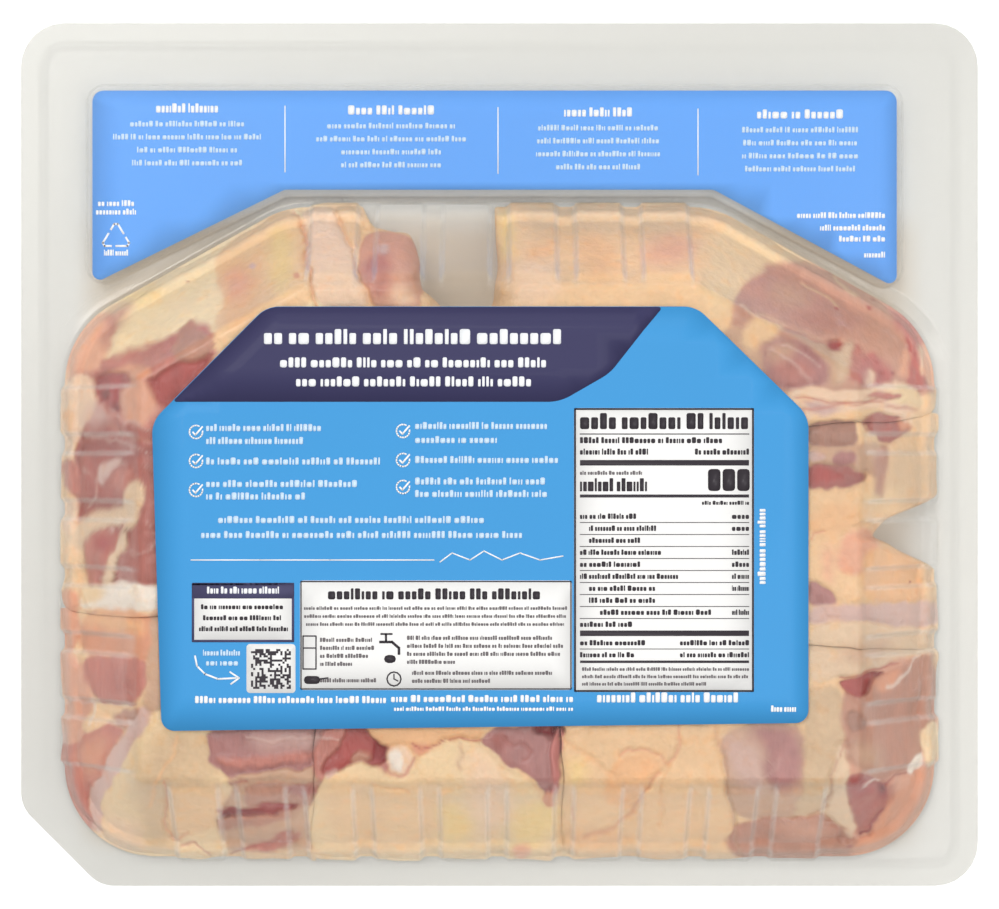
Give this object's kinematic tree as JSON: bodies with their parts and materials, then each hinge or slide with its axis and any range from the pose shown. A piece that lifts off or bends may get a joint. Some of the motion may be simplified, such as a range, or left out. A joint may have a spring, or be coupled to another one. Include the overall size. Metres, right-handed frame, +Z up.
{
  "type": "tray pack of raw chicken thighs",
  "caption": "Shut clear tray of raw skin-on chicken thighs, with ribbed sloping walls, a printed header card and a back label, lying on its lidding film.",
  "frame": {"origin": "middle of the base, on the underside of the film's rim", "axes": "+X across the tray, to the right when the header card is at the top; +Y towards the header card; +Z up, from the lidding film to the flat underside that carries the label"},
  "size_m": [0.254, 0.229, 0.0411],
  "materials": {
    "clear_tray": "clear thermoformed sheet, glossy",
    "lidding_film": "clear thin film",
    "card_blue": "coated card, printed",
    "label_blue": "printed film label, satin",
    "banner_navy": "printed, satin",
    "panel_white": "printed, satin",
    "chicken_skin": "moist raw skin and fat",
    "chicken_flesh": "moist raw flesh"
  },
  "bodies": {
    "root": {"tray": "clear_tray", "lid_film": "lidding_film", "header_card": "card_blue", "label": "label_blue", "label_banner": "banner_navy", "label_facts_panel": "panel_white", "label_notice_panel": "panel_white", "label_tip_panel": "panel_white", "label_code_patch": "panel_white", "thigh_top_left": "chicken_skin", "thigh_top_right": "chicken_skin", "thigh_right": "chicken_flesh", "thigh_bottom_left": "chicken_skin", "thigh_bottom_middle": "chicken_skin", "thigh_bottom_right": "chicken_skin"}
  },
  "joints": []
}
